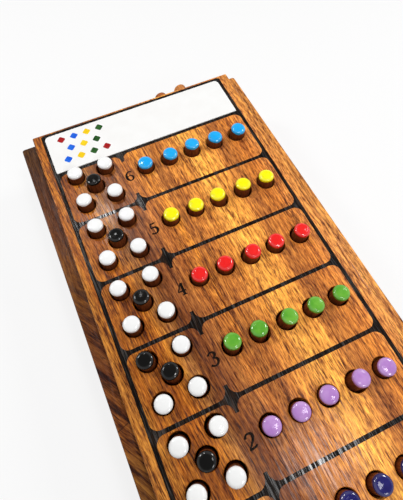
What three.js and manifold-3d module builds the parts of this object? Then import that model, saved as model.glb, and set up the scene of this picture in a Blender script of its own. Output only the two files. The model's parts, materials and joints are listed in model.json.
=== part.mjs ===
// Wooden code breaking peg game: a milled tray, a playing board that slides in its grooves, a white
// title plate, and loose round pegs with painted heads. Millimetres, +Z up. X runs across the board,
// from the scoring pegs to the code pegs, and Y along it, from row 1 to the title plate.
// The origin is the centre of the tray's underside.
import * as THREE from "three";
import { mergeVertices } from "three/addons/utils/BufferGeometryUtils.js";
import Module from "manifold-3d";

const wasm = await Module();
wasm.setup();

// Playing board: a thick slab. Its sides are cut back below the top, so that the top covers the gap
// beside it, and carry a tongue that runs in the tray's grooves.
const boardWidth = 102;
const boardLength = 207;
const boardThickness = 16;
const boardEdgeChamfer = 0.7;
const boardProud = 4.6;
const boardOverhang = 1.6;
const boardSkewDegrees = -0.5;
const tongueThickness = 4;
const tongueReach = 4.2;

// Tray: one block with a channel, two grooves and a pocket milled into it.
const trayFloor = 5;
const pocketHeight = 13.3;
const pocketWall = 9.4;
const pocketCornerRadius = 5;
const nearWall = 6;
const trayCornerRadius = 1.5;
const cornerSteps = 4;
const lipHeight = 3.2;
const lipWidth = 6.45;
const grooveSkin = 1.85;

// Clearances: the board rests on the tray's shelves, and has play sideways and at its stop.
const restGap = 0.3;
const sidePlay = 1.2;
const stopGap = 0.8;

// Title plate, glued on the board between row 6 and the far edge.
const plateWidth = 90.15;
const plateDepth = 22.55;
const plateThickness = 0.5;
const plateFarRadius = 2.2;
const plateNearRadius = 0.5;
const plateFarMargin = 2.85;
const plateShiftX = -0.625;

// Rows: row 6 is nearest the title plate. Heights in a row are counted from its near line. The rows
// share the length between the first line and the title plate's zone, and a row's outer scoring
// bores keep their margins from its lines.
const rowCount = 6;
const firstRowLine = 4.9;
const titleZoneDepth = 25.1;
const codePegsPerRow = 5;
const codeLineY = 16.4;
const scoreNearMargin = 8.3;
const scoreFarMargin = 5.6;

// Across the board the bores keep their pitches, and the width that they leave over is shared
// between the left margin, the space between scoring and code pegs, and the right margin.
const codePitch = 11.4;
const scoreHalfX = 6.8;
const leftMarginShare = 0.2944;
const rightMarginShare = 0.3061;

// Bores and pegs. A peg is longer than its bore is deep, so its painted head stands proud.
const pegRadius = 3.25;
const pegLength = 15;
const pegFootChamfer = 0.4;
const headRound = 0.9;
const headDome = 0.25;
const boreRadius = 4;
const headHeight = 4.55;
const boreSides = 16;
const pegSides = 14;
const leanMarginShare = 0.17;

// Secret code bores, in the far end face. The two pegs there are put in head first, which hides their
// colours, and stand further out than a seated one.
const secretDepthBelowTop = 8;
const secretShiftX = 1.6;
const secretPegs = [
  { column: 3, out: 7.5, colour: "green" },
  { column: 4, out: 8.6, colour: "red" },
];

// Each peg leans in its wide bore. A pair is the lean along X and Y, as a share of the most that
// the bore allows, from row 1 up. The scoring bores of row 1 are empty.
const codeLeanShares = [
  [[0.3, 0.2], [-0.2, 0.4], [0.3, 0.2], [-0.4, 0.3], [0.2, 0.5]],
  [[-0.35, -0.35], [-0.8, -0.55], [-0.95, 0.3], [0.95, 0.3], [-0.35, -0.3]],
  [[0.25, 0.75], [-0.35, 0.9], [0.85, 0.2], [0.55, -0.05], [0.3, 0.05]],
  [[0.1, -0.2], [-0.25, -0.15], [0.85, -0.1], [0.05, 0.2], [0.55, -0.1]],
  [[0.5, -0.2], [0.4, -0.25], [-0.7, 0.7], [0.35, 0.75], [-0.1, 0.25]],
  [[0, -0.4], [0.8, -0.55], [0.5, 0.65], [0.4, -0.2], [0.85, -0.5]],
];
const scoreLeanShares = [
  [],
  [[-0.25, -0.95], [0.8, -0.55], [-0.5, -0.6], [-0.4, -0.05], [-0.7, -0.65]],
  [[-0.5, 0], [-0.05, -0.2], [-0.5, 0.85], [0.25, -0.7], [-0.65, -0.25]],
  [[-0.1, 0.15], [-0.3, 0.6], [0, 0.95], [-0.25, 0.4], [-0.05, 0.1]],
  [[0.5, 0.6], [0.5, 0.3], [0, 0.5], [0.35, 0.1], [-0.2, 0.15]],
  [[0.35, -0.05], [0.6, -0.45], [0, 1], [-0.05, 0.6], [-0.05, -0.25]],
];

// Colours of the wood and of the peg heads. The code pegs change colour from row to row.
const colours = {
  boardWood: 0xb5702f,
  trayWood: 0xa9682b,
  plate: 0xf7f7f5,
  skyblue: 0x12a2f2,
  yellow: 0xfff000,
  red: 0xe8191c,
  green: 0x55ad33,
  purple: 0xb187d9,
  navy: 0x2b2483,
  white: 0xf8f8f8,
  black: 0x0d0d10,
};
const rowColours = ["navy", "purple", "green", "red", "yellow", "skyblue"];
const scorePlaces = [
  { name: "far_left", x: -1, y: 1 },
  { name: "far_right", x: 1, y: 1 },
  { name: "centre", x: 0, y: 0 },
  { name: "near_left", x: -1, y: -1 },
  { name: "near_right", x: 1, y: -1 },
];
const blackScorePegs = [
  "row2_centre", "row3_centre", "row3_far_left", "row4_centre", "row5_centre", "row6_centre",
];

// Sizes that follow from the ones above.
const cutOverrun = 2;
const boardBottom = trayFloor + pocketHeight + restGap;
const boardTop = boardBottom + boardThickness;
const trayHeight = boardTop - boardProud;
const bodyHalf = boardWidth / 2 - boardOverhang;
const channelHalf = bodyHalf + sidePlay;
const trayWidth = 2 * (channelHalf + lipWidth);
const trayLength = nearWall + stopGap + boardLength;
const trayFarY = trayLength / 2;
const channelNearY = -trayLength / 2 + nearWall;
const grooveHalf = channelHalf + lipWidth - grooveSkin;
const grooveTop = trayHeight - lipHeight;
const tongueTop = grooveTop - restGap;
const tongueBottom = tongueTop - tongueThickness;
const grooveBottom = tongueBottom - restGap;
const boardCentreY = trayFarY - boardLength / 2;
const rowPitch = (boardLength - firstRowLine - titleZoneDepth) / rowCount;
const scoreHalfY = (rowPitch - scoreNearMargin - scoreFarMargin) / 2;
const scoreCentreY = scoreNearMargin + scoreHalfY;
const codeHalfX = (codePitch * (codePegsPerRow - 1)) / 2;
const spareWidth = boardWidth - 2 * (scoreHalfX + codeHalfX);
const scoreCentreX = -boardWidth / 2 + leftMarginShare * spareWidth + scoreHalfX;
const codeCentreX = boardWidth / 2 - rightMarginShare * spareWidth - codeHalfX;
const boreDepth = pegLength - headHeight + restGap;
const leanPlay = boreRadius * Math.cos(Math.PI / boreSides) - pegRadius;
const leanReach = leanPlay * (1 - leanMarginShare);
const fullLean = Math.atan((2 * leanReach) / boreDepth);

// A geometry as a solid that can be cut, and back again.
function solidFrom(geometry) {
  const bare = geometry.clone();
  bare.deleteAttribute("normal");
  bare.deleteAttribute("uv");
  const merged = mergeVertices(bare);
  return new wasm.Manifold(
    new wasm.Mesh({
      numProp: 3,
      vertProperties: merged.attributes.position.array,
      triVerts: new Uint32Array(merged.index.array),
    }),
  );
}

function geometryFrom(solid) {
  const mesh = solid.getMesh();
  const geometry = new THREE.BufferGeometry();
  geometry.setAttribute("position", new THREE.BufferAttribute(mesh.vertProperties, 3));
  geometry.setIndex(new THREE.BufferAttribute(mesh.triVerts, 1));
  const flat = geometry.toNonIndexed();
  flat.computeVertexNormals();
  return flat;
}

function part(name, geometry, colour, roughness) {
  const material = new THREE.MeshStandardMaterial({ color: colours[colour], roughness, metalness: 0 });
  const mesh = new THREE.Mesh(geometry, material);
  mesh.name = name;
  return mesh;
}

// A rectangle with round corners, each with its own radius.
function roundedRectangle(x0, x1, y0, y1, nearRadius, farRadius) {
  const quarter = Math.PI / 2;
  const shape = new THREE.Shape();
  shape.absarc(x1 - nearRadius, y0 + nearRadius, nearRadius, -quarter, 0, false);
  shape.absarc(x1 - farRadius, y1 - farRadius, farRadius, 0, quarter, false);
  shape.absarc(x0 + farRadius, y1 - farRadius, farRadius, quarter, 2 * quarter, false);
  shape.absarc(x0 + nearRadius, y0 + nearRadius, nearRadius, 2 * quarter, 3 * quarter, false);
  return shape;
}

function extrudedUp(shape, z0, z1) {
  const options = { depth: z1 - z0, bevelEnabled: false, curveSegments: cornerSteps };
  return new THREE.ExtrudeGeometry(shape, options).translate(0, 0, z0);
}

function block(x0, x1, y0, y1, z0, z1) {
  const geometry = new THREE.BoxGeometry(x1 - x0, y1 - y0, z1 - z0);
  return geometry.translate((x0 + x1) / 2, (y0 + y1) / 2, (z0 + z1) / 2);
}

// A bore's cutter stands on the bore's floor and runs past its mouth.
function boreCutter() {
  const length = boreDepth + cutOverrun;
  const cutter = new THREE.CylinderGeometry(boreRadius, boreRadius, length, boreSides);
  return cutter.rotateX(Math.PI / 2).translate(0, 0, length / 2);
}

function makeTray() {
  const outline = roundedRectangle(
    -trayWidth / 2, trayWidth / 2, -trayFarY, trayFarY, trayCornerRadius, trayCornerRadius);
  const channel = block(
    -channelHalf, channelHalf, channelNearY, trayFarY + cutOverrun,
    boardBottom - restGap, trayHeight + cutOverrun);
  const grooves = block(
    -grooveHalf, grooveHalf, channelNearY, trayFarY + cutOverrun, grooveBottom, grooveTop);
  const pocketHalf = trayWidth / 2 - pocketWall;
  const pocket = extrudedUp(
    roundedRectangle(-pocketHalf, pocketHalf, -trayFarY + pocketWall, trayFarY - pocketWall,
      pocketCornerRadius, pocketCornerRadius),
    trayFloor, boardBottom);
  const tray = solidFrom(extrudedUp(outline, 0, trayHeight))
    .subtract(solidFrom(channel))
    .subtract(solidFrom(grooves))
    .subtract(solidFrom(pocket));
  return part("peg_tray", geometryFrom(tray), "trayWood", 0.55);
}

// The board's section, seen along Y, is drawn from its underside up and run along the board.
function boardSlab() {
  const half = boardWidth / 2;
  const low = tongueBottom - boardBottom;
  const high = tongueTop - boardBottom;
  const shoulder = trayHeight + restGap - boardBottom;
  const shape = new THREE.Shape();
  shape.moveTo(bodyHalf, 0);
  shape.lineTo(bodyHalf, low);
  shape.lineTo(bodyHalf + tongueReach, low);
  shape.lineTo(bodyHalf + tongueReach, high);
  shape.lineTo(bodyHalf, high);
  shape.lineTo(bodyHalf, shoulder);
  shape.lineTo(half, shoulder);
  shape.lineTo(half, boardThickness - boardEdgeChamfer);
  shape.lineTo(half - boardEdgeChamfer, boardThickness);
  shape.lineTo(-half + boardEdgeChamfer, boardThickness);
  shape.lineTo(-half, boardThickness - boardEdgeChamfer);
  shape.lineTo(-half, shoulder);
  shape.lineTo(-bodyHalf, shoulder);
  shape.lineTo(-bodyHalf, high);
  shape.lineTo(-bodyHalf - tongueReach, high);
  shape.lineTo(-bodyHalf - tongueReach, low);
  shape.lineTo(-bodyHalf, low);
  shape.lineTo(-bodyHalf, 0);
  const slab = new THREE.ExtrudeGeometry(shape, { depth: boardLength, bevelEnabled: false });
  return slab.rotateX(Math.PI / 2).translate(0, boardLength / 2, 0);
}

// Places of the bores, from the board's centre.
function rowLineY(row) {
  return -boardLength / 2 + firstRowLine + (row - 1) * rowPitch;
}

function codeColumnX(column) {
  return codeCentreX - codeHalfX + (column - 1) * codePitch;
}

function codePlace(row, column) {
  return { x: codeColumnX(column), y: rowLineY(row) + codeLineY };
}

function scorePlace(row, place) {
  return {
    x: scoreCentreX + place.x * scoreHalfX,
    y: rowLineY(row) + scoreCentreY + place.y * scoreHalfY,
  };
}

function makeBoard() {
  let board = solidFrom(boardSlab());
  const boreFloor = boardThickness - boreDepth;
  for (let row = 1; row <= rowCount; row++) {
    const places = scorePlaces.map((place) => scorePlace(row, place));
    for (let column = 1; column <= codePegsPerRow; column++) places.push(codePlace(row, column));
    for (const place of places)
      board = board.subtract(solidFrom(boreCutter().translate(place.x, place.y, boreFloor)));
  }
  for (let column = 1; column <= codePegsPerRow; column++) {
    const cutter = boreCutter().rotateX(-Math.PI / 2);
    cutter.translate(codeColumnX(column) + secretShiftX, boardLength / 2 - boreDepth,
      boardThickness - secretDepthBelowTop);
    board = board.subtract(solidFrom(cutter));
  }
  return part("playing_board", geometryFrom(board), "boardWood", 0.5);
}

function makePlate() {
  const farY = boardLength / 2 - plateFarMargin;
  const outline = roundedRectangle(
    plateShiftX - plateWidth / 2, plateShiftX + plateWidth / 2, farY - plateDepth, farY,
    plateNearRadius, plateFarRadius);
  const sheet = extrudedUp(outline, boardThickness, boardThickness + plateThickness);
  return part("title_plate", sheet, "plate", 0.25);
}

// One dowel with a chamfered foot and a round-edged, slightly domed head, standing on its foot.
function makePeg(name, colour) {
  const shoulder = pegLength - headDome - headRound;
  const profile = [
    [0, 0],
    [pegRadius - pegFootChamfer, 0],
    [pegRadius, pegFootChamfer],
    [pegRadius, shoulder],
    [pegRadius - headRound * (1 - Math.SQRT1_2), shoulder + headRound * Math.SQRT1_2],
    [pegRadius - headRound, shoulder + headRound],
    [0, pegLength],
  ].map(([radius, height]) => new THREE.Vector2(radius, height));
  const peg = new THREE.LatheGeometry(profile, pegSides).rotateX(Math.PI / 2);
  return part(name, geometryFrom(solidFrom(peg)), colour, 0.35);
}

// A leaning peg's foot is pushed to one side of the bore's floor and its head to the other.
function seatPeg(peg, place, leanShare) {
  const share = Math.hypot(leanShare[0], leanShare[1]);
  const heading = Math.atan2(leanShare[1], leanShare[0]);
  const tilt = fullLean * share;
  const footShift = leanReach * share;
  const lift = pegRadius * Math.sin(tilt);
  peg.position.set(
    place.x - footShift * Math.cos(heading),
    place.y - footShift * Math.sin(heading),
    boardThickness - boreDepth + restGap + lift,
  );
  peg.quaternion.setFromAxisAngle(new THREE.Vector3(-Math.sin(heading), Math.cos(heading), 0), tilt);
  return peg;
}

const boardGroup = new THREE.Group();
boardGroup.position.set(0, boardCentreY, boardBottom);
boardGroup.rotation.z = THREE.MathUtils.degToRad(boardSkewDegrees);
boardGroup.add(makeBoard(), makePlate());

for (let row = 1; row <= rowCount; row++) {
  const colour = rowColours[row - 1];
  for (let column = 1; column <= codePegsPerRow; column++) {
    const peg = makePeg(`code_peg_${colour}_${column}`, colour);
    boardGroup.add(seatPeg(peg, codePlace(row, column), codeLeanShares[row - 1][column - 1]));
  }
  scoreLeanShares[row - 1].forEach((leanShare, index) => {
    const place = scorePlaces[index];
    const label = `row${row}_${place.name}`;
    const shade = blackScorePegs.includes(label) ? "black" : "white";
    const peg = makePeg(`score_peg_${label}`, shade);
    boardGroup.add(seatPeg(peg, scorePlace(row, place), leanShare));
  });
}

// The secret pegs lie along Y, their feet out of the far end face, on the lower side of their bores.
for (const secret of secretPegs) {
  const peg = makePeg(`secret_peg_${secret.column}`, secret.colour);
  peg.rotation.x = Math.PI / 2;
  peg.position.set(
    codeColumnX(secret.column) + secretShiftX,
    boardLength / 2 + secret.out,
    boardThickness - secretDepthBelowTop - leanReach,
  );
  boardGroup.add(peg);
}

const game = new THREE.Group();
game.add(makeTray(), boardGroup);

export default game;
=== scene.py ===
import json
import math

import bmesh
import bpy
from mathutils import Matrix, Vector


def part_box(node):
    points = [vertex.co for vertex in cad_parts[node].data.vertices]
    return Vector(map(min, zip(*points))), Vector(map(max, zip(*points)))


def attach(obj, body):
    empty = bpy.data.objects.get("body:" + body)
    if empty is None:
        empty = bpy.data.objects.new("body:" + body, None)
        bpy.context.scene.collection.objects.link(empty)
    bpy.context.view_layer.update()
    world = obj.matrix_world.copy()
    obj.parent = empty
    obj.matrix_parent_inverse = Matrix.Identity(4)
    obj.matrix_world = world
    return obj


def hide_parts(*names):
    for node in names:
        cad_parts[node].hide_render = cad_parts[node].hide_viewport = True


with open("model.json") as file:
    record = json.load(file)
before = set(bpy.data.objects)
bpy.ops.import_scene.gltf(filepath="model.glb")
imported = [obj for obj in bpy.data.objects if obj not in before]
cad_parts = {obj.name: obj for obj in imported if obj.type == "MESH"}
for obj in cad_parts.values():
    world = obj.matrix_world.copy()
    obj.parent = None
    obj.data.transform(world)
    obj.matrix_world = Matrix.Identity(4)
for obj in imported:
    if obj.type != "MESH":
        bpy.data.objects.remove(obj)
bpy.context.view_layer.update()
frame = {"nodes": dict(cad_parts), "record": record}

# Tray. One block of hardwood with its grain along the board. The channel, the grooves for the
# board's tongues and the pocket for spare pegs are milled into it, and its edges are sanded round.
mm = 0.001
hair = 0.001 * mm
tray_corner = 1.2 * mm
tray_edge = 0.45 * mm
channel_half = 50.6 * mm
groove_half = 55.2 * mm
near_wall = 6.0 * mm
groove_bottom = 22.2 * mm
groove_top = 26.8 * mm
shelf_height = 18.3 * mm
pocket_floor = 5.0 * mm
pocket_wall = 9.4 * mm
pocket_corner = 5.0 * mm
overrun = 2.0 * mm


def take(*pieces):
    """Selects these pieces and nothing else, and makes the first one active."""
    bpy.ops.object.select_all(action="DESELECT")
    for piece in pieces:
        piece.select_set(True)
    bpy.context.view_layer.objects.active = pieces[0]


def settle(piece, place):
    """Moves a piece to its place and leaves the place in its mesh."""
    take(piece)
    piece.matrix_world = place
    bpy.ops.object.transform_apply(location=True, rotation=True, scale=True)
    return piece


def block(name, low, high):
    """A squared block between two corners."""
    low, high = Vector(low), Vector(high)
    bpy.ops.object.select_all(action="DESELECT")
    bpy.ops.mesh.primitive_cube_add(size=1, location=(low + high) / 2, scale=high - low)
    piece = bpy.context.object
    piece.name = name
    bpy.ops.object.transform_apply(location=True, rotation=True, scale=True)
    return piece


def open_edges(piece, wanted):
    """Opens a piece in edit mode with the edges selected for which wanted(end, other end) is true."""
    take(piece)
    bpy.ops.object.mode_set(mode="EDIT")
    bpy.ops.mesh.select_mode(type="EDGE")
    bpy.ops.mesh.select_all(action="DESELECT")
    mesh = bmesh.from_edit_mesh(piece.data)
    for edge in mesh.edges:
        edge.select_set(wanted(edge.verts[0].co, edge.verts[1].co))
    bmesh.update_edit_mesh(piece.data)


def round_edges(piece, wanted, width, steps):
    """Rounds the edges of a piece for which wanted(end, other end) is true."""
    open_edges(piece, wanted)
    bpy.ops.mesh.bevel(offset=width, offset_type="OFFSET", segments=steps, profile=0.5, affect="EDGES")
    bpy.ops.object.mode_set(mode="OBJECT")


def upright(one, other):
    """True for an edge that runs straight up."""
    return abs(one.x - other.x) < hair and abs(one.y - other.y) < hair


def carve(piece, tool, operation="DIFFERENCE"):
    """Cuts a tool's shape out of a piece, or joins it on, and clears the tool away."""
    take(piece)
    step = piece.modifiers.new("carve", "BOOLEAN")
    step.operation = operation
    step.solver = "EXACT"
    step.object = tool
    bpy.ops.object.modifier_apply(modifier=step.name)
    bpy.data.objects.remove(tool)


def shade(piece, sharper_than=50):
    """Smooth shading that keeps a piece's flats flat and its sharp edges sharp."""
    take(piece)
    bpy.ops.object.shade_smooth_by_angle(angle=math.radians(sharper_than))
    step = piece.modifiers.new("flats", "WEIGHTED_NORMAL")
    step.keep_sharp = True
    bpy.ops.object.modifier_apply(modifier=step.name)


def sand_edges(piece, width, steps=3):
    """Rounds every sharp edge of a piece a little."""
    take(piece)
    step = piece.modifiers.new("sand", "BEVEL")
    step.width = width
    step.segments = steps
    step.limit_method = "ANGLE"
    step.angle_limit = math.radians(35)
    bpy.ops.object.modifier_apply(modifier=step.name)
    shade(piece)


def colour(code):
    """A web colour as the linear values that a shader takes."""
    shares = [int(code[i:i + 2], 16) / 255 for i in (1, 3, 5)]
    return [s / 12.92 if s <= 0.04045 else ((s + 0.055) / 1.055) ** 2.4 for s in shares] + [1.0]


def add(tree, kind, inputs=None, **settings):
    """A shader node. Each input is a value, or the socket that feeds it."""
    made = tree.nodes.new(kind)
    for name, value in settings.items():
        setattr(made, name, value)
    for socket, value in (inputs or {}).items():
        if isinstance(value, bpy.types.NodeSocket):
            tree.links.new(value, made.inputs[socket])
        else:
            made.inputs[socket].default_value = value
    return made


def reckon(tree, operation, *values):
    """One step of arithmetic on numbers or sockets."""
    return add(tree, "ShaderNodeMath", dict(enumerate(values)), operation=operation).outputs[0]


def between(tree, value, low, high):
    """Where a value lies from low to high, held to 0 and 1."""
    limits = {"Value": value, "From Min": low, "From Max": high}
    return add(tree, "ShaderNodeMapRange", limits).outputs["Result"]


def mix(tree, share, one, other, way="MIX"):
    """Two colours mixed by a share."""
    inputs = {0: share, 6: one, 7: other}
    return add(tree, "ShaderNodeMix", inputs, data_type="RGBA", blend_type=way).outputs[2]


def ramp(tree, share, stops):
    """A colour ramp. Its stops are (place, web colour)."""
    made = add(tree, "ShaderNodeValToRGB", {0: share})
    while len(made.color_ramp.elements) < len(stops):
        made.color_ramp.elements.new(1.0)
    for element, (place, tone) in zip(made.color_ramp.elements, stops):
        element.position = place
        element.color = colour(tone)
    return made.outputs[0]


def new_group(name, inputs, outputs):
    """An empty shader node group with its inlet and outlet. A socket with no value is a vector."""
    group = bpy.data.node_groups.new(name, "ShaderNodeTree")
    for direction, sockets in (("INPUT", inputs), ("OUTPUT", outputs)):
        for label, value in sockets.items():
            kind = "NodeSocketVector" if value is None else "NodeSocketFloat"
            socket = group.interface.new_socket(label, in_out=direction, socket_type=kind)
            if value:
                socket.default_value = value
    return group, group.nodes.new("NodeGroupInput").outputs, group.nodes.new("NodeGroupOutput").inputs


def use_group(tree, name, inputs):
    """One of the groups, placed in a material with its own values."""
    return add(tree, "ShaderNodeGroup", inputs, node_tree=bpy.data.node_groups[name]).outputs


def strands(tree, vector, across, along, detail=3.0, roughness=0.55):
    """Noise drawn out along the grain. Across and along are the size of its features."""
    share = (1 / across, 1 / along, 1 / across)
    drawn = add(tree, "ShaderNodeVectorMath", {0: vector, 1: share}, operation="MULTIPLY").outputs[0]
    inputs = {"Vector": drawn, "Scale": 1.0, "Detail": detail, "Roughness": roughness}
    return add(tree, "ShaderNodeTexNoise", inputs).outputs["Fac"]


def make_timber_figure():
    """Grain along Y: how light or dark the wood is, its open pores, its sheen and its height."""
    tree, inlet, outlet = new_group(
        "timber figure",
        {"Vector": None, "Wander": 1.5 * mm, "Bands": 0.5, "Streaks": 0.5, "Mottle": 0.5, "Lines": 0.5},
        {"Across": 0.0, "Tone": 0.0, "Pores": 0.0, "Sheen": 0.0, "Height": 0.0})
    slow = add(tree, "ShaderNodeVectorMath", {0: inlet["Vector"], 1: (40.0, 14.0, 40.0)},
               operation="MULTIPLY").outputs[0]
    drift = add(tree, "ShaderNodeTexNoise", {"Vector": slow, "Scale": 1.0, "Detail": 2.0}).outputs["Color"]
    centred = add(tree, "ShaderNodeVectorMath", {0: drift, 1: (0.5, 0.5, 0.5)},
                  operation="SUBTRACT").outputs[0]
    sideways = add(tree, "ShaderNodeVectorMath", {0: centred, 1: (1.0, 0.0, 1.0)},
                   operation="MULTIPLY").outputs[0]
    shift = add(tree, "ShaderNodeVectorMath", {0: sideways, "Scale": inlet["Wander"]},
                operation="SCALE").outputs[0]
    bent = add(tree, "ShaderNodeVectorMath", {0: inlet["Vector"], 1: shift}).outputs[0]

    bands = strands(tree, bent, 5.0 * mm, 120.0 * mm, 2.0)
    streaks = strands(tree, bent, 1.5 * mm, 26.0 * mm, 5.0, 0.72)
    mottle = strands(tree, bent, 0.45 * mm, 3.4 * mm, 3.0, 0.6)
    fibres = strands(tree, bent, 0.3 * mm, 5.0 * mm, 2.0)
    rings = strands(tree, bent, 1.6 * mm, 60.0 * mm, 1.0)
    specks = strands(tree, bent, 0.22 * mm, 2.4 * mm, 1.0)
    crowded = strands(tree, bent, 1.8 * mm, 30.0 * mm, 2.0)
    thick = strands(tree, bent, 0.5 * mm, 12.0 * mm, 3.0, 0.65)

    tone = reckon(tree, "MULTIPLY_ADD", reckon(tree, "SUBTRACT", bands, 0.5), inlet["Bands"], 0.5)
    streaked = reckon(tree, "MULTIPLY", reckon(tree, "SUBTRACT", streaks, 0.5), inlet["Streaks"])
    mottled = reckon(tree, "MULTIPLY", reckon(tree, "SUBTRACT", mottle, 0.5), inlet["Mottle"])
    fine = reckon(tree, "MULTIPLY", reckon(tree, "SUBTRACT", fibres, 0.5), 0.7)
    tone = reckon(tree, "ADD", reckon(tree, "ADD", tone, streaked), reckon(tree, "ADD", mottled, fine))
    near_line = reckon(tree, "ABSOLUTE", reckon(tree, "SUBTRACT", rings, 0.5))
    lined = reckon(tree, "MULTIPLY", between(tree, near_line, 0.05, 0.0), inlet["Lines"])
    tone = reckon(tree, "MULTIPLY_ADD", lined, -0.3, tone)
    open_grain = reckon(tree, "MULTIPLY_ADD", reckon(tree, "SUBTRACT", crowded, 0.5), 0.9, specks)
    pores = between(tree, open_grain, 0.64, 0.76)
    height = reckon(tree, "MULTIPLY_ADD", fibres, 0.4, reckon(tree, "MULTIPLY", pores, -0.8))
    height = reckon(tree, "MULTIPLY_ADD", streaks, 0.6, height)
    across = add(tree, "ShaderNodeSeparateXYZ", {0: bent}).outputs["X"]
    sheen = between(tree, thick, 0.46, 0.68)
    for label, value in (("Across", across), ("Tone", tone), ("Pores", pores), ("Sheen", sheen),
                         ("Height", height)):
        tree.links.new(value, outlet[label])


def new_material(name, specular=0.5, coat_roughness=0.03):
    """A material, its nodes and its shader."""
    material = bpy.data.materials.new(name)
    material.use_nodes = True
    tree = material.node_tree
    shader = tree.nodes["Principled BSDF"]
    shader.inputs["Specular IOR Level"].default_value = specular
    shader.inputs["Coat Roughness"].default_value = coat_roughness
    return material, tree, shader


def strip_colours(tree, across, strips):
    """The colours of a piece's strips, as (place across it, web colour)."""
    low, high = strips[0][0], strips[-1][0]
    return ramp(tree, between(tree, across, low, high),
                [((place - low) / (high - low), tone) for place, tone in strips])


def shade_by_figure(tree, base, figure, contrast, pore_tone, pore_share=0.7):
    """A wood colour made lighter and darker by its figure, redder where it is dark, with dark pores."""
    swing = reckon(tree, "SUBTRACT", figure["Tone"], 0.5)
    level = reckon(tree, "MAXIMUM", reckon(tree, "MULTIPLY_ADD", swing, contrast, 1.1), 0.15)
    green = reckon(tree, "POWER", level, 1.25)
    blue = reckon(tree, "POWER", level, 1.1)
    shaded = add(tree, "ShaderNodeCombineColor", {0: level, 1: green, 2: blue}).outputs[0]
    lit = mix(tree, 1.0, base, shaded, "MULTIPLY")
    return mix(tree, reckon(tree, "MULTIPLY", figure["Pores"], pore_share), lit, colour(pore_tone))


def varnish(tree, shader, figure, wood, gloss, depth):
    """Thin varnish that lies thicker along some fibres, where it shines."""
    tree.links.new(wood, shader.inputs["Base Color"])
    tree.links.new(reckon(tree, "MULTIPLY_ADD", figure["Pores"], 0.2, gloss), shader.inputs["Roughness"])
    tree.links.new(reckon(tree, "MULTIPLY", figure["Sheen"], 0.35), shader.inputs["Coat Weight"])
    bump = add(tree, "ShaderNodeBump", {"Height": figure["Height"], "Strength": 0.4, "Distance": depth})
    tree.links.new(bump.outputs[0], shader.inputs["Normal"])


def place_figure(tree, turn, bands=0.5, streaks=0.9, mottle=1.0, lines=0.3, wander=1.5 * mm):
    """The timber figure on a piece, with its grain turned from Y."""
    where = add(tree, "ShaderNodeTexCoord").outputs["Object"]
    where = add(tree, "ShaderNodeMapping", {"Vector": where, "Rotation": turn}).outputs[0]
    return use_group(tree, "timber figure", {
        "Vector": where, "Wander": wander, "Bands": bands, "Streaks": streaks, "Mottle": mottle,
        "Lines": lines})


rail_tones = [(0.0, "#70441f"), (0.29, "#6c401b"), (0.37, "#7d461e"), (0.46, "#603117"), (0.56, "#5c3013"),
              (0.66, "#754315"), (0.77, "#5a2c0e"), (0.88, "#4e2810"), (1.0, "#4a2b12")]
tray_strips = [
    (-57 * mm, "#70401c"), (-46 * mm, "#8e5424"), (0.0, "#a8652c"), (46 * mm, "#c27836"),
    (51 * mm, "#da8c46"), (54 * mm, "#d9924c"), (57 * mm, "#c47c3c")]
tray_pore = "#2a1408"
rail_inside = -47.0 * mm
rail_fade = 2.0 * mm
curl_turn = math.radians(-30)
curl_starts = 12.0 * mm
curl_fades = 45.0 * mm
crack_y = -12.0 * mm
crack_slant = -0.3
crack_width = 0.35 * mm
crack_depth = 0.8


def tray_timber():
    """The tray's left rail is dark, and its grain turns curly and runs askew towards the near end."""
    material, tree, shader = new_material("tray timber", specular=0.08, coat_roughness=0.25)
    straight = place_figure(tree, (0.0, 0.0, 0.0), bands=0.8, streaks=1.7, mottle=1.8, lines=0.6,
                            wander=2.5 * mm)
    curly = place_figure(tree, (0.0, 0.0, curl_turn), bands=1.4, streaks=2.8, mottle=1.2, lines=1.0,
                         wander=6.0 * mm)
    where = add(tree, "ShaderNodeTexCoord").outputs["Object"]
    where = add(tree, "ShaderNodeSeparateXYZ", {0: where}).outputs
    on_rail = between(tree, where["X"], rail_inside, rail_inside - rail_fade)
    along = between(tree, where["Y"], tray_low.y, tray_high.y)
    rail = ramp(tree, along, rail_tones)
    base = mix(tree, on_rail, strip_colours(tree, straight["Across"], tray_strips), rail)
    plain = shade_by_figure(tree, base, straight, contrast=1.8, pore_tone=tray_pore)
    curled = shade_by_figure(tree, base, curly, contrast=2.0, pore_tone=tray_pore)
    near_part = between(tree, where["Y"], curl_fades, curl_starts)
    wood = mix(tree, reckon(tree, "MULTIPLY", on_rail, near_part), plain, curled)
    slant = reckon(tree, "MULTIPLY_ADD", where["X"], crack_slant, where["Y"])
    off_crack = reckon(tree, "ABSOLUTE", reckon(tree, "SUBTRACT", slant, crack_y))
    crack = reckon(tree, "MULTIPLY", between(tree, off_crack, crack_width, 0.0), on_rail)
    wood = mix(tree, reckon(tree, "MULTIPLY", crack, crack_depth), wood, colour(tray_pore))
    varnish(tree, shader, straight, wood, gloss=0.35, depth=0.1 * mm)
    return material


def coat(piece, material):
    """Gives a piece this material and no other."""
    piece.data.materials.clear()
    piece.data.materials.append(material)


def dress(piece, node, material, body):
    """A finished piece takes the place of its CAD node."""
    coat(piece, material)
    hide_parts(node)
    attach(piece, body)


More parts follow.
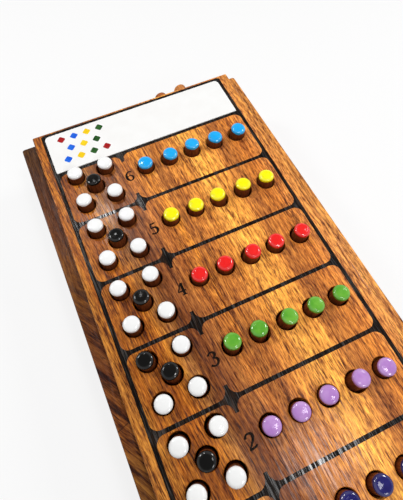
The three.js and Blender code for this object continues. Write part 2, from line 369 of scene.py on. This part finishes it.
make_timber_figure()
tray_low, tray_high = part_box("peg_tray")
tray = block("wooden_tray", tray_low, tray_high)
round_edges(tray, upright, tray_corner, steps=6)
past = tray_high.y + overrun
channel_start = tray_low.y + near_wall
carve(tray, block("channel", (-channel_half, channel_start, shelf_height), (channel_half, past, past)))
carve(tray, block("grooves", (-groove_half, channel_start, groove_bottom), (groove_half, past, groove_top)))
pocket = block("pocket", (tray_low.x + pocket_wall, tray_low.y + pocket_wall, pocket_floor),
               (tray_high.x - pocket_wall, tray_high.y - pocket_wall, shelf_height + overrun))
round_edges(pocket, upright, pocket_corner, steps=8)
carve(tray, pocket)
sand_edges(tray, tray_edge)
dress(tray, "peg_tray", tray_timber(), "tray")

# Playing board. A thick slab glued up from strips of hardwood, cut back along each side under its top
# and tongued to slide in the tray. It is bored on a drill press: five code bores and five scoring bores
# in each of six rows, and five secret bores in the far end face.
board_length = 207.0 * mm
board_width = 102.0 * mm
board_thickness = 16.0 * mm
board_turn = math.radians(-0.5)
board_edge = 0.6 * mm
tongue_low = 3.9 * mm
tongue_high = 7.9 * mm
tongue_reach = 4.2 * mm
overhang = 1.6 * mm
overhang_low = 11.7 * mm
row_count = 6
row_pitch = 29.5 * mm
first_line = 4.9 * mm
code_count = 5
code_x = -7.7 * mm
code_pitch = 11.4 * mm
code_y = 16.4 * mm
score_x = -31.6 * mm
score_y = 16.1 * mm
score_half_x = 6.8 * mm
score_half_y = 7.8 * mm
secret_x = 1.6 * mm
secret_depth = 8.0 * mm
bore_radius = 4.0 * mm
bore_depth = 10.75 * mm
bore_rim = 0.3 * mm
bore_point = 0.7 * mm
bore_sides = 48


def line_y(row):
    """The printed line below a row, counted from 1 at the near end."""
    return -board_length / 2 + first_line + (row - 1) * row_pitch


def open_faces(piece, wanted):
    """Opens a piece in edit mode with the faces selected for which wanted(face) is true."""
    take(piece)
    bpy.ops.object.mode_set(mode="EDIT")
    bpy.ops.mesh.select_mode(type="FACE")
    bpy.ops.mesh.select_all(action="DESELECT")
    mesh = bmesh.from_edit_mesh(piece.data)
    for face in mesh.faces:
        face.select_set(wanted(face))
    bmesh.update_edit_mesh(piece.data)


def twin(original, place):
    """A copy of a piece with its own mesh, at its own place."""
    made = original.copy()
    made.data = original.data.copy()
    made.data.transform(place)
    bpy.context.scene.collection.objects.link(made)
    return made


def make_bore_tool():
    """The drill: its mouth is at height 0, with a flare that leaves the bore's rim round."""
    bpy.ops.object.select_all(action="DESELECT")
    bpy.ops.mesh.primitive_cylinder_add(
        vertices=bore_sides, radius=bore_radius, depth=bore_depth - bore_rim,
        location=(0, 0, -(bore_depth + bore_rim) / 2))
    tool = bpy.context.object
    bpy.ops.object.transform_apply(location=True, rotation=True, scale=True)
    open_faces(tool, lambda face: face.normal.z < -0.9)
    bpy.ops.mesh.poke(offset=bore_point)
    bpy.ops.object.mode_set(mode="OBJECT")
    open_faces(tool, lambda face: face.normal.z > 0.9)
    height, radius = -bore_rim, bore_radius
    for angle in (math.pi / 6, math.pi / 3, math.pi / 2):
        rise = bore_rim * math.sin(angle) - bore_rim - height
        spread = bore_radius + bore_rim * (1 - math.cos(angle))
        bpy.ops.mesh.extrude_region_move(TRANSFORM_OT_translate={"value": (0, 0, rise)})
        height += rise
        wider = spread / radius
        bpy.ops.transform.resize(value=(wider, wider, 1), center_override=(0, 0, height))
        radius = spread
    bpy.ops.mesh.extrude_region_move(TRANSFORM_OT_translate={"value": (0, 0, overrun)})
    bpy.ops.object.mode_set(mode="OBJECT")
    return tool


bore_places = []
for row in range(1, row_count + 1):
    for column in range(code_count):
        bore_places.append((code_x + column * code_pitch, line_y(row) + code_y))
    for side, end in ((-1, 1), (1, 1), (0, 0), (-1, -1), (1, -1)):
        bore_places.append((score_x + side * score_half_x, line_y(row) + score_y + end * score_half_y))
drilled = [Matrix.Translation((x, y, board_thickness)) for x, y in bore_places]
outwards = Matrix.Rotation(-math.pi / 2, 4, "X")
for column in range(code_count):
    mouth = (code_x + secret_x + column * code_pitch, board_length / 2, board_thickness - secret_depth)
    drilled.append(Matrix.Translation(mouth) @ outwards)

half = Vector((board_width / 2 - overhang, board_length / 2, 0))
board = block("wooden_board", -half, half + Vector((0, 0, board_thickness)))
open_faces(board, lambda face: True)
for level in (tongue_low, tongue_high, overhang_low):
    bpy.ops.mesh.select_all(action="SELECT")
    bpy.ops.mesh.bisect(plane_co=(0, 0, level), plane_no=(0, 0, 1))
bpy.ops.object.mode_set(mode="OBJECT")
side_steps = ((tongue_low, tongue_high, tongue_reach), (overhang_low, board_thickness, overhang))
for low, high, reach in side_steps:
    for side in (-1, 1):
        open_faces(board, lambda face: face.normal.x * side > 0.9
                   and low < face.calc_center_median().z < high)
        bpy.ops.mesh.extrude_region_move(TRANSFORM_OT_translate={"value": (side * reach, 0, 0)})
        bpy.ops.object.mode_set(mode="OBJECT")
sand_edges(board, board_edge)
bore_tool = make_bore_tool()
drills = [twin(bore_tool, place) for place in drilled]
bpy.data.objects.remove(bore_tool)
take(*drills)
bpy.ops.object.join()
carve(board, drills[0])
shade(board)

board_low, board_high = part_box("playing_board")
board_middle = (board_low + board_high) / 2
board_place = (Matrix.Translation((board_middle.x, board_middle.y, board_low.z))
               @ Matrix.Rotation(board_turn, 4, "Z"))
settle(board, board_place)
left_strips = [
    (-51 * mm, "#ad6a2b"), (-48 * mm, "#ba742c"), (-45 * mm, "#9f5519"), (-42 * mm, "#b56a26"),
    (-38 * mm, "#9b541c"), (-35 * mm, "#a05417"), (-32 * mm, "#ba6b22"), (-29 * mm, "#b46f2d"),
    (-26 * mm, "#ad6f3a"), (-24 * mm, "#884e22"), (-21 * mm, "#773f1a"), (-18 * mm, "#7e4421"),
    (-15.5 * mm, "#965629"), (-13 * mm, "#9e5c2c"), (-10 * mm, "#b86b30"), (-7.5 * mm, "#b0652b"),
    (-5 * mm, "#c97831"), (-2 * mm, "#d98431"), (1 * mm, "#dd8a3e")]
right_strips = [
    (-2 * mm, "#ac652d"), (2 * mm, "#ba6e30"), (4.5 * mm, "#c37433"), (6 * mm, "#ce7e38"),
    (7.5 * mm, "#de8b3d"), (10 * mm, "#d18135"), (12 * mm, "#e09142"), (14 * mm, "#f0a248"),
    (18 * mm, "#f2a246"), (22 * mm, "#ee9b43"), (24.5 * mm, "#eb9944"), (26.5 * mm, "#d4823b"),
    (28.5 * mm, "#b36a31"), (31 * mm, "#b1672f"), (34 * mm, "#be6f30"), (37 * mm, "#c77330"),
    (41 * mm, "#d47d37"), (43.5 * mm, "#dc8641"), (48 * mm, "#df8f49"), (50.8 * mm, "#d18540")]
board_pore = "#3a1c0c"
glue_line = -3.2 * mm
grain_turn = math.radians(-0.5)
left_grain_turn = math.radians(-5.2)


def board_timber():
    """Two laminations meet at a glue line. The grain of the left one runs a little askew."""
    material, tree, shader = new_material("board timber", specular=0.1, coat_roughness=0.2)
    left = place_figure(tree, (0.0, 0.0, left_grain_turn), bands=0.4, streaks=1.6, mottle=1.6, lines=1.0)
    right = place_figure(tree, (0.0, 0.0, grain_turn), bands=0.3, streaks=1.7, mottle=1.8, lines=0.4)
    left_base = strip_colours(tree, left["Across"], left_strips)
    right_base = strip_colours(tree, right["Across"], right_strips)
    left_wood = shade_by_figure(tree, left_base, left, contrast=2.1, pore_tone=board_pore)
    right_wood = shade_by_figure(tree, right_base, right, contrast=2.0, pore_tone=board_pore)
    wood = mix(tree, reckon(tree, "GREATER_THAN", right["Across"], glue_line), left_wood, right_wood)
    varnish(tree, shader, right, wood, gloss=0.32, depth=0.1 * mm)
    return material


dress(board, "playing_board", board_timber(), "board")

# Printed grid. Glossy black paint, screened on the varnish in one pass: a frame round the board, a line
# between the rows, and the short pointed stubs that part the scoring pegs from the code pegs.
print_film = 0.05 * mm
print_sunk = 0.02 * mm
grid_left = -47.06 * mm
grid_left_inside = -45.4 * mm
grid_right_inside = 44.7 * mm
grid_right = 46.28 * mm
grid_far = 102.4 * mm
grid_corner = 1.5 * mm
line_width = 1.6 * mm
plate_line_y = 77.4 * mm
stub_left = -16.95 * mm
stub_right = -15.45 * mm
stub_reach = 4.9 * mm
cell_corner = 3.3 * mm
sheen_span = 0.6


def cell_tool(x0, x1, y0, y1, corner):
    """A round-cornered opening in the printed grid."""
    tool = block("cell", (x0, y0, board_thickness - overrun), (x1, y1, board_thickness + overrun))
    round_edges(tool, upright, corner, steps=10)
    return tool


def line_paint(name, dull):
    """The paint lies over open grain, which shows as streaks in its gloss, the fewer the duller it is."""
    material, tree, shader = new_material(name, specular=0.04, coat_roughness=0.2)
    figure = place_figure(tree, (0.0, 0.0, grain_turn), bands=1.0, streaks=2.0, mottle=1.6)
    tone = ramp(tree, figure["Tone"], [(0.0, "#050302"), (0.5, "#0e0805"), (1.0, "#34241a")])
    tree.links.new(tone, shader.inputs["Base Color"])
    rough = between(tree, figure["Tone"], 1.4, 0.0)
    tree.links.new(reckon(tree, "MULTIPLY_ADD", rough, 0.3, 0.15), shader.inputs["Roughness"])
    tree.links.new(between(tree, figure["Sheen"], dull, dull + sheen_span), shader.inputs["Coat Weight"])
    bump = add(tree, "ShaderNodeBump", {"Height": figure["Height"], "Strength": 0.5, "Distance": 0.12 * mm})
    tree.links.new(bump.outputs[0], shader.inputs["Normal"])
    return material


grid = block("printed_grid", (grid_left, line_y(1) - line_width / 2, board_thickness - print_sunk),
             (grid_right, grid_far, board_thickness + print_film))
round_edges(grid, upright, grid_corner, steps=6)
for row in range(1, row_count + 1):
    near = line_y(row) + line_width / 2
    far = (line_y(row + 1) if row < row_count else plate_line_y) - line_width / 2
    clear = stub_reach - line_width / 2
    opening = cell_tool(grid_left_inside, stub_left, near, far, cell_corner)
    carve(opening, cell_tool(stub_right, grid_right_inside, near, far, cell_corner), "UNION")
    carve(opening, cell_tool(stub_left - 2 * cell_corner, stub_right + 2 * cell_corner, near + clear,
                             far - clear, line_width / 4), "UNION")
    carve(grid, opening)
settle(grid, board_place)
shade(grid, sharper_than=30)
coat(grid, line_paint("line paint", dull=0.2))
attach(grid, "board")

# Row numbers. Plain serif numerals in the same black paint, one to a row, between the scoring pegs and
# the code pegs. Each stroke is a drawn line that swells and thins, pressed flat on the varnish.
digit_x = -16.2 * mm
digit_above_line = 14.75 * mm
digit_stroke = 0.54 * mm
digit_flatness = 0.12
strokes = {
    1: [[(0.1, 2.5, 1.0), (0.1, -2.5, 1.0)], [(-0.9, 1.7, 0.4), (0.1, 2.5, 0.7)],
        [(-0.9, -2.5, 0.45), (1.1, -2.5, 0.45)]],
    2: [[(-1.35, 1.2, 0.9), (-1.2, 2.3, 0.6), (0.0, 2.65, 0.6), (1.3, 2.2, 0.9), (1.35, 1.0, 1.0),
         (0.6, -0.3, 0.8), (-0.6, -1.5, 0.5), (-1.4, -2.4, 0.4)],
        [(-1.5, -2.35, 0.6), (1.4, -2.3, 0.9), (1.6, -1.5, 0.4)]],
    3: [[(-1.3, 1.6, 0.9), (-1.0, 2.5, 0.5), (0.3, 2.7, 0.6), (1.3, 2.1, 1.0), (1.2, 0.9, 1.0),
         (0.0, 0.3, 0.4)],
        [(0.0, 0.3, 0.4), (1.5, 0.2, 0.9), (1.7, -1.3, 1.1), (0.8, -2.5, 0.7), (-0.6, -2.6, 0.5),
         (-1.5, -1.8, 0.9)]],
    4: [[(0.5, 2.55, 0.5), (-1.6, -0.9, 0.5)], [(-1.6, -0.9, 0.55), (1.6, -0.9, 0.55)],
        [(0.6, 2.5, 1.0), (0.6, -2.5, 1.0)], [(-0.3, -2.5, 0.45), (1.5, -2.5, 0.45)]],
    5: [[(-0.9, 2.4, 0.7), (1.2, 2.5, 0.8), (1.4, 2.7, 0.3)], [(-0.9, 2.4, 0.5), (-1.1, 0.3, 0.45)],
        [(-1.1, 0.3, 0.4), (-0.2, 0.8, 0.6), (1.3, 0.5, 1.0), (1.7, -1.0, 1.1), (0.9, -2.4, 0.7),
         (-0.5, -2.6, 0.5), (-1.4, -1.9, 0.9)]],
    6: [[(1.3, 1.9, 0.9), (0.8, 2.6, 0.5), (-0.5, 2.4, 0.7), (-1.4, 0.8, 1.0), (-1.5, -1.0, 1.1),
         (-0.6, -2.5, 0.7), (0.8, -2.5, 0.6), (1.6, -1.2, 1.0), (1.1, 0.2, 0.7), (0.0, 0.4, 0.45),
         (-1.2, -0.3, 0.4)]],
}


def draw_digit(number):
    """A number's strokes as one flat mesh round the origin."""
    drawing = bpy.data.curves.new("digit", "CURVE")
    drawing.dimensions = "3D"
    drawing.bevel_depth = digit_stroke
    drawing.bevel_resolution = 2
    drawing.use_fill_caps = True
    for points in strokes[number]:
        line = drawing.splines.new("NURBS")
        line.points.add(len(points) - 1)
        for point, (x, y, share) in zip(line.points, points):
            point.co = (x * mm, y * mm, 0.0, 1.0)
            point.radius = share
        line.use_endpoint_u = True
        line.order_u = min(4, len(points))
        line.resolution_u = 8
    digit = bpy.data.objects.new("row_number_" + str(number), drawing)
    bpy.context.scene.collection.objects.link(digit)
    take(digit)
    bpy.ops.object.convert(target="MESH")
    return bpy.context.object


digit_paint = line_paint("number paint", dull=0.8)
for row in strokes:
    digit = draw_digit(row)
    on_board = Matrix.Translation((digit_x, line_y(row) + digit_above_line, board_thickness))
    settle(digit, board_place @ on_board @ Matrix.Diagonal((1.0, 1.0, digit_flatness, 1.0)))
    shade(digit)
    coat(digit, digit_paint)
    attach(digit, "board")

# Title plate. A thin sheet coated with glossy white enamel, cut with two round corners and glued down
# inside the frame. Its print is a plain pattern of small coloured lozenges.
plate_left = -45.7 * mm
plate_right = 44.45 * mm
plate_near = 78.1 * mm
plate_far = 100.65 * mm
plate_thickness = 0.5 * mm
plate_edge = 0.12 * mm
plate_near_corner = 0.5 * mm
plate_far_corner = 2.2 * mm
lozenge_side = 3.0 * mm
lozenge_corner = 0.6 * mm
lozenge_film = 0.03 * mm
lozenge_pitch = 6.2 * mm
lozenge_rows = (4, 3, 4)
lozenge_first = Vector((-38.6 * mm, 83.9 * mm, 0.0))
lozenge_paints = {
    "blue": ("#0a58dc", "#1f74ea"),
    "yellow": ("#f4c400", "#fbdc1c"),
    "green": ("#0d3f10", "#2b6420"),
    "red": ("#8c0408", "#b40c10"),
}


def make_paint_film():
    """Orange peel and patches in a coat of paint."""
    tree, inlet, outlet = new_group("paint film", {"Vector": None, "Size": 1.0 * mm},
                                    {"Height": 0.0, "Patches": 0.0})
    scale = reckon(tree, "DIVIDE", 1.0, inlet["Size"])
    peel = add(tree, "ShaderNodeTexNoise", {"Vector": inlet["Vector"], "Scale": scale, "Detail": 1.0})
    wide = reckon(tree, "MULTIPLY", scale, 0.45)
    patches = add(tree, "ShaderNodeTexNoise", {"Vector": inlet["Vector"], "Scale": wide, "Detail": 4.0})
    tree.links.new(peel.outputs["Fac"], outlet["Height"])
    tree.links.new(between(tree, patches.outputs["Fac"], 0.35, 0.7), outlet["Patches"])


def enamel(name, base, light, patchy=0.5, gloss=0.08, peel=1.7 * mm, depth=0.16 * mm, specular=0.16):
    """Gloss paint: a film with a little orange peel, in two near tones that lie in patches."""
    material, tree, shader = new_material(name, specular, coat_roughness=0.05)
    where = add(tree, "ShaderNodeTexCoord").outputs["Object"]
    film = use_group(tree, "paint film", {"Vector": where, "Size": peel})
    share = reckon(tree, "MULTIPLY", film["Patches"], patchy)
    tree.links.new(mix(tree, share, colour(base), colour(light)), shader.inputs["Base Color"])
    tree.links.new(reckon(tree, "MULTIPLY_ADD", film["Patches"], 0.08, gloss), shader.inputs["Roughness"])
    bump = add(tree, "ShaderNodeBump", {"Height": film["Height"], "Strength": 0.5, "Distance": depth})
    tree.links.new(bump.outputs[0], shader.inputs["Normal"])
    return material, tree, shader, film


make_paint_film()
plate = block("enamelled_plate", (plate_left, plate_near, board_thickness),
              (plate_right, plate_far, board_thickness + plate_thickness))
round_edges(plate, lambda one, other: upright(one, other) and one.y < (plate_near + plate_far) / 2,
            plate_near_corner, steps=4)
round_edges(plate, lambda one, other: upright(one, other) and one.y > plate_far - plate_edge,
            plate_far_corner, steps=10)
sand_edges(plate, plate_edge)
settle(plate, board_place)
plate_enamel = enamel("plate enamel", "#f6f5f3", "#fbfbfa", gloss=0.14, peel=3.0 * mm, depth=0.02 * mm)[0]
dress(plate, "title_plate", plate_enamel, "board")

lozenge_half = lozenge_side / 2
lozenge = block("lozenge", (-lozenge_half, -lozenge_half, 0), (lozenge_half, lozenge_half, lozenge_film))
round_edges(lozenge, upright, lozenge_corner, steps=4)
lozenge_inks = [enamel(name + " print", base, light, patchy=1.0, peel=0.9 * mm, depth=0.03 * mm)[0]
                for name, (base, light) in lozenge_paints.items()]
lozenge_places = []
for tier, count in enumerate(lozenge_rows):
    for column in range(count):
        sideways = (column + (max(lozenge_rows) - count) / 2) * lozenge_pitch
        lozenge_places.append(lozenge_first + Vector((sideways, tier * lozenge_pitch, 0)))
lozenge_tilt = Matrix.Rotation(math.pi / 4, 4, "Z")
plate_top = Vector((0, 0, board_thickness + plate_thickness))
for number, place in enumerate(lozenge_places):
    mark = twin(lozenge, board_place @ Matrix.Translation(place + plate_top) @ lozenge_tilt)
    mark.name = "lozenge_" + str(number + 1)
    coat(mark, lozenge_inks[number % len(lozenge_inks)])
    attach(mark, "board")
bpy.data.objects.remove(lozenge)

# Pegs. Short hardwood dowels, chamfered at the foot and turned to a cushion at the head. It is dipped in
# enamel, which gathers in a glossy bead round the rim and ends in an uneven edge. Every peg leans in its
# wide bore. The two of the secret code lie in the far end face, head first, so that bare wood shows.
peg_radius = 3.25 * mm
peg_length = 15.0 * mm
peg_foot = 0.4 * mm
head_round = 1.7 * mm
head_rise = 0.9 * mm
head_dome = 0.1 * mm
head_clear = 0.09 * mm
enamel_skirt = 0.45 * mm
enamel_film = 0.05 * mm
enamel_starts = 0.3 * mm
skirt_waves = ((0.14 * mm, 2, 0.4), (0.07 * mm, 5, 0.0), (0.03 * mm, 7, 2.0))
bead_top = 0.973
bead_top_fade = 0.04
bead_foot = 0.5
bead_foot_fade = 0.15
peg_sides = 48
head_steps = 10


def make_peg():
    """A peg standing on its foot at the origin."""
    bpy.ops.object.select_all(action="DESELECT")
    radius = peg_radius - enamel_film
    shoulder = peg_length - head_clear - head_dome - head_rise - enamel_film
    bpy.ops.mesh.primitive_cylinder_add(vertices=peg_sides, radius=radius, depth=shoulder,
                                        location=(0, 0, shoulder / 2))
    peg = bpy.context.object
    bpy.ops.object.transform_apply(location=True, rotation=True, scale=True)
    round_edges(peg, lambda one, other: max(one.z, other.z) < hair, peg_foot, steps=2)
    open_faces(peg, lambda face: face.normal.z > 0.99)
    outline = []
    for step in range(1, head_steps + 1):
        angle = step * math.pi / (2 * head_steps)
        outline.append((radius - head_round * (1 - math.cos(angle)), head_rise * math.sin(angle)))
    flat = radius - head_round
    for inner in (0.75, 0.5, 0.25):
        outline.append((flat * inner, head_rise + head_dome * (1 - inner ** 2)))
    height, wide = 0.0, radius
    for reach, level in outline:
        bpy.ops.mesh.extrude_region_move(TRANSFORM_OT_translate={"value": (0, 0, level - height)})
        narrower = reach / wide
        bpy.ops.transform.resize(value=(narrower, narrower, 1), center_override=(0, 0, shoulder))
        height, wide = level, reach
    bpy.ops.mesh.poke(offset=head_rise + head_dome - height)
    bpy.ops.mesh.select_all(action="SELECT")
    edge_height = shoulder - enamel_skirt
    bpy.ops.mesh.bisect(plane_co=(0, 0, edge_height), plane_no=(0, 0, 1))
    mesh = bmesh.from_edit_mesh(peg.data)
    for vertex in mesh.verts:
        if abs(vertex.co.z - edge_height) < hair:
            angle = math.atan2(vertex.co.y, vertex.co.x)
            vertex.co.z += sum(sag * math.sin(waves * angle + start) for sag, waves, start in skirt_waves)
    bmesh.update_edit_mesh(peg.data)
    bpy.ops.object.mode_set(mode="OBJECT")
    enamelled = edge_height + enamel_starts
    open_faces(peg, lambda face: max(vertex.co.z for vertex in face.verts) > enamelled)
    bpy.ops.mesh.extrude_region_shrink_fatten(TRANSFORM_OT_shrink_fatten={"value": enamel_film})
    bpy.ops.object.mode_set(mode="OBJECT")
    for face in peg.data.polygons:
        under_film = face.normal.z < -0.3 and face.center.z > shoulder / 2
        face.material_index = 1 if face.select or under_film else 0
    # The bead lies where the round rim leans outwards, and fades towards the cushion and the skirt.
    bead = peg.data.attributes.new("bead", "FLOAT", "POINT")
    for vertex, share in zip(peg.data.vertices, bead.data):
        lean = vertex.normal.z
        inner = (bead_top - lean) / bead_top_fade
        outer = (lean - bead_foot) / bead_foot_fade
        share.value = max(0.0, min(1.0, inner, outer))
    return peg


def peg_place(node, headward):
    """Where a CAD peg's foot stands, turned so that +Z runs from its foot to its head."""
    mesh = frame["nodes"][node].data
    foot = min((face.normal for face in mesh.polygons), key=lambda normal: normal.dot(headward)).copy()
    rim = {tuple(round(share, 6) for share in mesh.vertices[corner].co)
           for face in mesh.polygons if face.normal.dot(foot) > 0.999 for corner in face.vertices}
    middle = sum((Vector(point) for point in rim), Vector()) / len(rim)
    return Matrix.Translation(middle) @ (-foot).to_track_quat("Z", "Y").to_matrix().to_4x4()


head_paints = {
    "peg_skyblue": ("#10aaf4", "#2cbefc"),
    "peg_yellow": ("#fff400", "#fff900"),
    "peg_red": ("#f01a1a", "#fc2c28"),
    "peg_green": ("#56a52b", "#8ecf4d"),
    "peg_purple": ("#b480ca", "#dab2e8"),
    "peg_navy": ("#17125c", "#2e2a80"),
    "peg_white": ("#f8f8f7", "#fbfbfa"),
}


def cap_enamel(name, base, light, specular=0.16, bead_gloss=0.85):
    """Enamel that gathers in a glossy bead round the rim of a cap."""
    material, tree, shader, film = enamel(name, base, light, specular=specular)
    shader.inputs["Coat IOR"].default_value = 1.6
    bead = add(tree, "ShaderNodeAttribute", attribute_name="bead").outputs["Fac"]
    shiny = reckon(tree, "MULTIPLY_ADD", between(tree, film["Patches"], 0.2, 0.6), 0.35, 0.65)
    glossed = reckon(tree, "MULTIPLY", reckon(tree, "MULTIPLY", bead, shiny), bead_gloss)
    tree.links.new(glossed, shader.inputs["Coat Weight"])
    return material


heads = {slot: cap_enamel(slot.replace("_", " ") + " enamel", base, light)
         for slot, (base, light) in head_paints.items()}
heads["peg_black"] = cap_enamel("black cap enamel", "#040302", "#0a0705", specular=0.1, bead_gloss=0.5)
# The upright dowels' tones are darkened well below the wood's own colour, as painted shade on the sides
# under the caps. The lying dowels keep the lighter tone of the same wood.
dowel_tones_painted_shade = [(-60 * mm, "#5e2e15"), (0.0, "#6a3417"), (60 * mm, "#5c2c13")]
lying_tones = [(12 * mm, "#9a582c"), (21 * mm, "#a05a30"), (25.5 * mm, "#cb8244"), (34 * mm, "#d08a4c")]
dowel_pore = "#2a1006"


def dowel_timber(name, turn, tones):
    """Dowel wood with its grain along the peg, duller than the board."""
    material, tree, shader = new_material(name, specular=0.12)
    figure = place_figure(tree, turn)
    base = strip_colours(tree, figure["Across"], tones)
    wood = shade_by_figure(tree, base, figure, contrast=1.6, pore_tone=dowel_pore)
    varnish(tree, shader, figure, wood, gloss=0.5, depth=0.1 * mm)
    return material


dowel_upright_painted_shade = dowel_timber("dowel timber", (math.pi / 2, 0.0, 0.0), dowel_tones_painted_shade)
dowel_lying = dowel_timber("lying dowel timber", (0.0, 0.0, 0.0), lying_tones)

finishes = {part["node"]: part["material_slot"] for part in frame["record"]["subparts"]}
peg_model = make_peg()
shade(peg_model)
turn_step = math.radians(137.5)
for number, node in enumerate(sorted(n for n in finishes if "_peg_" in n)):
    lying = node.startswith("secret")
    place = peg_place(node, Vector((0, -1, 0)) if lying else Vector((0, 0, 1)))
    peg = twin(peg_model, place @ Matrix.Rotation(number * turn_step, 4, "Z"))
    peg.name = node.replace("_peg_", "_dowel_")
    peg.data.materials.append(dowel_lying if lying else dowel_upright_painted_shade)
    peg.data.materials.append(heads[finishes[node]])
    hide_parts(node)
    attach(peg, node)
bpy.data.objects.remove(peg_model)

# Studio. A pale floor and an even white surround. Two small softboxes hang overhead, and three wider
# ones stand lower down at the sides.
floor_half = 2.0
floor_thickness = 2 * mm
floor_glow = 0.8
floor = block("floor", (-floor_half, -floor_half, -floor_thickness), (floor_half, floor_half, 0))
floor_finish, tree, shader = new_material("pale floor")
shader.inputs["Base Color"].default_value = colour("#f4f4f4")
shader.inputs["Roughness"].default_value = 0.9
rays = add(tree, "ShaderNodeLightPath").outputs
glow = add(tree, "ShaderNodeEmission", {"Color": (1.0, 1.0, 1.0, 1.0), "Strength": 1.0}).outputs[0]
seen = reckon(tree, "MULTIPLY", rays["Is Camera Ray"], floor_glow)
shown = add(tree, "ShaderNodeMixShader", {0: seen, 1: shader.outputs[0], 2: glow}).outputs[0]
tree.links.new(shown, tree.nodes["Material Output"].inputs["Surface"])
coat(floor, floor_finish)

world = bpy.data.worlds.new("studio") if bpy.context.scene.world is None else bpy.context.scene.world
bpy.context.scene.world = world
world.use_nodes = True
tree = world.node_tree
surround = 0.08
rays = add(tree, "ShaderNodeLightPath").outputs
white_for = reckon(tree, "MAXIMUM", rays["Is Camera Ray"],
                   reckon(tree, "MAXIMUM", rays["Is Glossy Ray"], rays["Is Transmission Ray"]))
strength = reckon(tree, "MULTIPLY_ADD", white_for, 1.0 - surround, surround)
tree.nodes["Background"].inputs["Color"].default_value = (1.0, 1.0, 1.0, 1.0)
tree.links.new(strength, tree.nodes["Background"].inputs["Strength"])


def softbox(name, place, size, watts):
    """A square lamp that faces the middle of the board."""
    lamp = bpy.data.lights.new(name, "AREA")
    lamp.shape = "SQUARE"
    lamp.size = size
    lamp.energy = watts
    stand = bpy.data.objects.new(name, lamp)
    stand.location = place
    stand.rotation_mode = "QUATERNION"
    stand.rotation_quaternion = (board_middle - Vector(place)).to_track_quat("-Z", "Y")
    bpy.context.scene.collection.objects.link(stand)


softbox("softbox overhead", (0.092, -0.126, 0.45), size=0.07, watts=0.54)
softbox("softbox far", (-0.035, 0.322, 0.45), size=0.045, watts=0.41)
softbox("softbox far left", (-0.25, 0.29, 0.35), size=0.1, watts=0.83)
softbox("softbox right", (0.377, 0.077, 0.35), size=0.1, watts=0.93)
softbox("softbox near", (0.09, -0.36, 0.35), size=0.1, watts=0.41)

view = bpy.data.cameras.new("camera")
view.lens = 28.62
view.sensor_width = 36.0
view.clip_start = 0.01
camera = bpy.data.objects.new("camera", view)
camera.location = (-29.66 * mm, -43.26 * mm, 181.91 * mm)
camera.rotation_euler = [math.radians(turn) for turn in (25.174, 0.581, -24.886)]
bpy.context.scene.collection.objects.link(camera)
bpy.context.scene.camera = camera
bpy.context.scene.view_settings.view_transform = "Standard"
